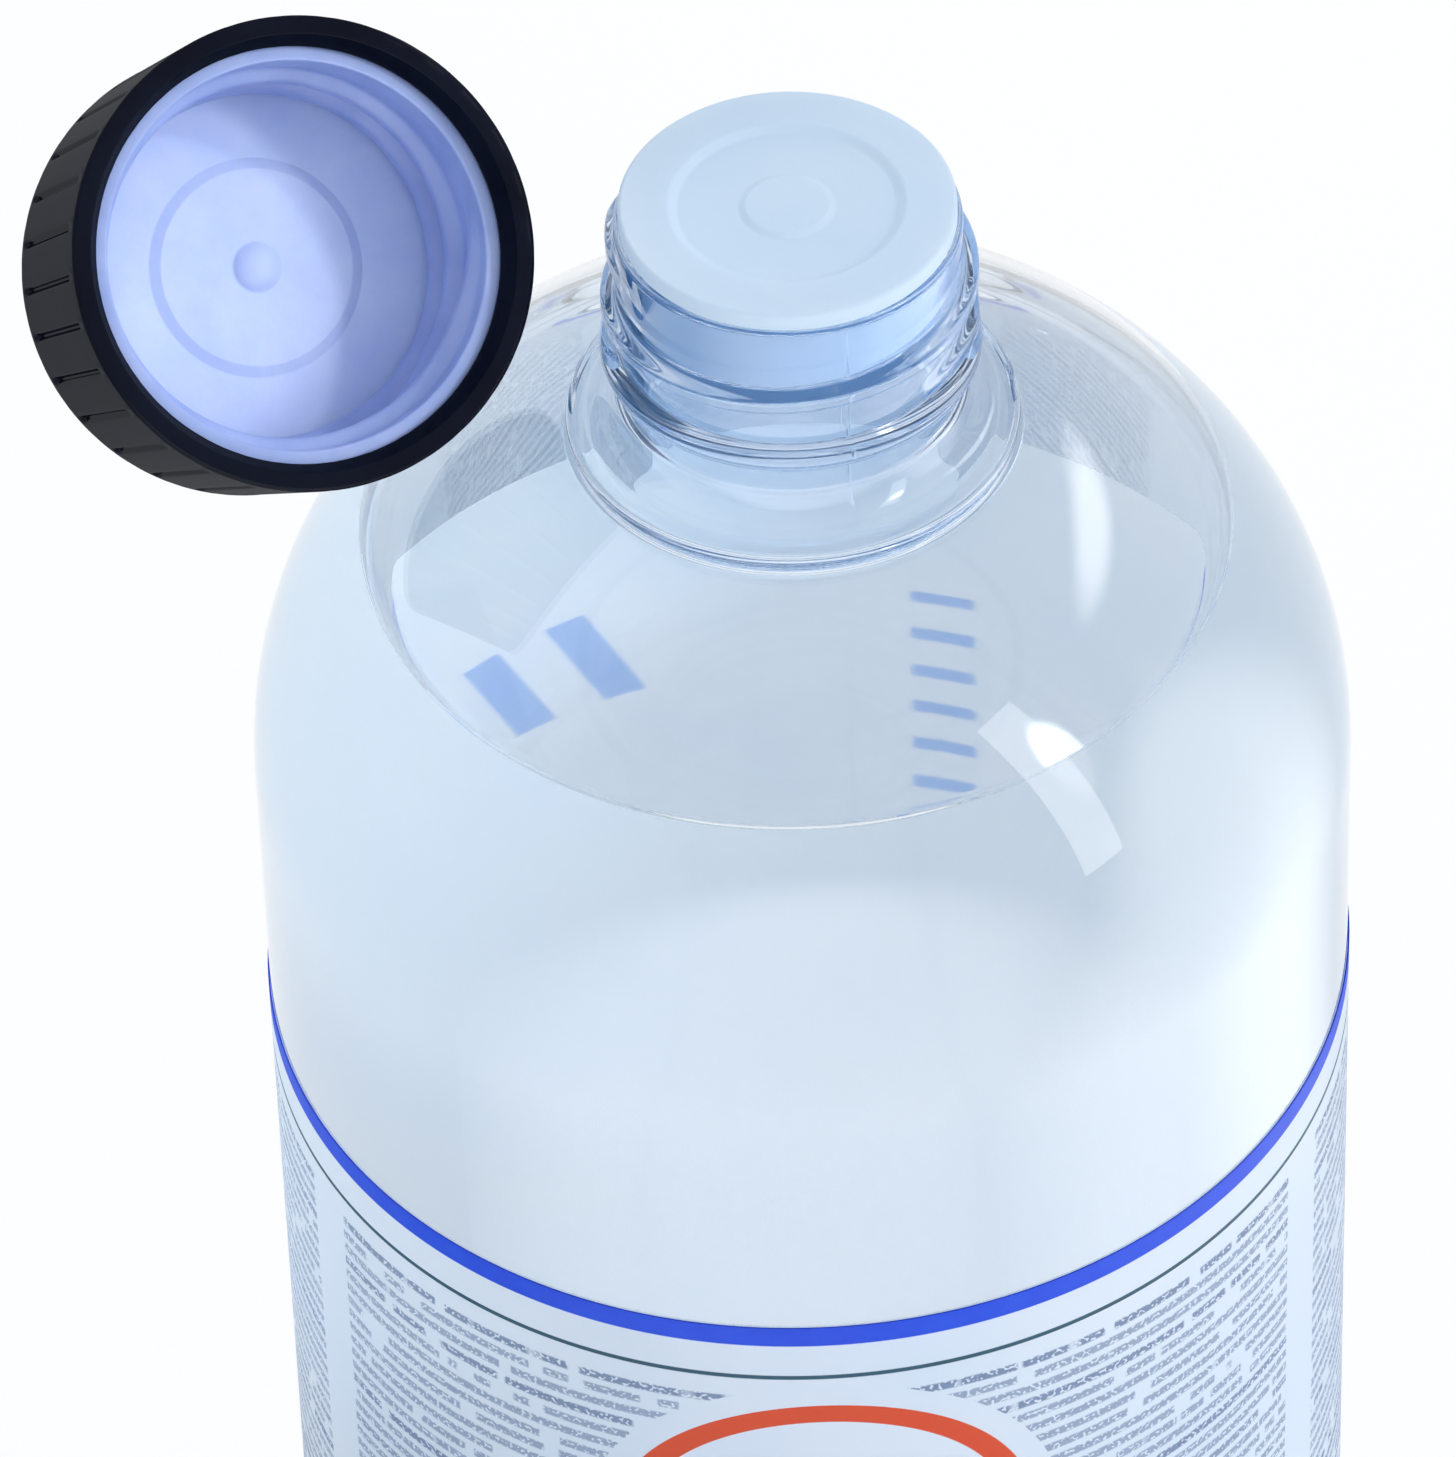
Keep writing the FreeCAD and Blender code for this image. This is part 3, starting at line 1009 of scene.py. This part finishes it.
def make_floor():
    half = floor_half_width
    mesh = bpy.data.meshes.new("floor")
    corners = [(-half, -half, 0), (half, -half, 0), (half, half, 0), (-half, half, 0)]
    mesh.from_pydata(corners, [], [(0, 1, 2, 3)])
    floor = bpy.data.objects.new("floor", mesh)
    bpy.context.scene.collection.objects.link(floor)
    paint = Paint("floor")
    tint = paint.mottled(3, colour(243, 244, 246), colour(248, 249, 250))
    matt = paint.principled(Base_Color=tint, Roughness=0.8)
    white = paint.add("ShaderNodeEmission", {"Color": (1, 1, 1, 1), "Strength": 1.0}).outputs[0]
    share = paint.maths("MULTIPLY", light_from_background(paint.tree), floor_white_share)
    mesh.materials.append(paint.done(paint.blend(share, matt, white)))


def hung(lamp, place, towards):
    """Puts a lamp in its place and turns it towards what it lights."""
    holder = bpy.data.objects.new(lamp.name, lamp)
    holder.location = place
    holder.rotation_euler = (Vector(place) - Vector(towards)).to_track_quat("Z", "Y").to_euler()
    bpy.context.scene.collection.objects.link(holder)
    return holder


def make_lamp(name, place, towards, size, radiance):
    """An area lamp that is as bright as its radiance says, whatever its size."""
    lamp = bpy.data.lights.new(name, "AREA")
    lamp.shape = "RECTANGLE"
    lamp.size, lamp.size_y = size
    lamp.energy = math.pi * size[0] * size[1] * radiance
    return hung(lamp, place, towards)


def make_cap_light():
    """A narrow beam into the open cap, whose rim shades the far side of the disc."""
    beam = bpy.data.lights.new("cap_light", "SPOT")
    beam.energy = cap_beam_power
    beam.spot_size = math.radians(cap_beam_degrees)
    beam.spot_blend = cap_beam_blend
    beam.shadow_soft_size = cap_beam_radius
    holder = hung(beam, cap_mouth + cap_beam_from_mouth, cap_mouth)
    holder.visible_glossy = False
    holder.visible_transmission = False


def make_key():
    """The lamp that lights the object. The glass shows the cards and not this lamp."""
    key = make_lamp("key", **key_lamp)
    key.visible_glossy = False
    fade_to_edges(key.data)


def make_back_light():
    """A soft lamp behind the bottle, which makes the label glow on the inside."""
    back = make_lamp("back_light", **back_lamp)
    back.visible_glossy = False
    back.visible_transmission = False


def make_card(name, place, towards, size, radiance, lean=0, soft=True):
    """A bright card that only shows in reflections, as the glass mirrors the windows and table about it."""
    card = make_lamp(name, place, towards, size, radiance)
    card.rotation_euler.rotate_axis("Z", math.radians(lean))
    card.visible_diffuse = False
    card.visible_transmission = False
    if soft:
        fade_to_edges(card.data)


def fade_to_edges(lamp):
    """Lets a lamp's light fall off from its middle to its edges, as a soft box does."""
    lamp.use_nodes = True
    nodes = lamp.node_tree.nodes
    links = lamp.node_tree.links
    place = nodes.new("ShaderNodeNewGeometry").outputs["Parametric"]
    from_middle = nodes.new("ShaderNodeVectorMath")
    from_middle.operation = "DISTANCE"
    from_middle.inputs[1].default_value = (0.5, 0.5, 0)
    links.new(place, from_middle.inputs[0])
    fade = nodes.new("ShaderNodeMapRange")
    fade.interpolation_type = "SMOOTHSTEP"
    fade.inputs["From Min"].default_value = fade_edge
    fade.inputs["From Max"].default_value = fade_core
    links.new(from_middle.outputs["Value"], fade.inputs["Value"])
    links.new(fade.outputs["Result"], nodes["Emission"].inputs["Strength"])


def make_camera():
    forward = Vector((
        math.sin(camera_pan) * math.cos(camera_pitch),
        math.cos(camera_pan) * math.cos(camera_pitch),
        -math.sin(camera_pitch),
    ))
    level = Vector((math.cos(camera_pan), -math.sin(camera_pan), 0))
    above = level.cross(forward)
    right = math.cos(camera_roll) * level + math.sin(camera_roll) * above
    up = math.cos(camera_roll) * above - math.sin(camera_roll) * level
    data = bpy.data.cameras.new("camera")
    data.sensor_width = camera_sensor
    data.lens = camera_sensor * focal_pixels / image_pixels
    camera = bpy.data.objects.new("camera", data)
    turn = Matrix((right, up, -forward)).transposed().to_4x4()
    camera.matrix_world = Matrix.Translation(camera_place) @ turn
    bpy.context.scene.collection.objects.link(camera)
    bpy.context.scene.camera = camera


cap_turn = Vector((0, 0, 1)).rotation_difference(cap_closed_way).to_matrix().to_4x4()
cap_place = Matrix.Translation(cap_mouth) @ cap_turn

make_bottle()
make_liquid()
make_label()
make_plug()
make_cap_outer(cap_place)
make_cap_inner(cap_place)
make_cap_disc(cap_place)
make_world()
make_floor()
make_key()
make_back_light()
make_cap_light()
make_card("window", **window, soft=False)
make_card("back_window", **back_window, lean=back_window_lean)
make_card("front_card", **front_card)
make_card("right_card", **right_card)
make_camera()
bpy.context.scene.view_settings.view_transform = "Standard"

# Room for light to find its way through the many clear faces
bounces = bpy.context.scene.cycles
bounces.max_bounces = light_bounces
bounces.transmission_bounces = light_bounces
bounces.transparent_max_bounces = light_bounces
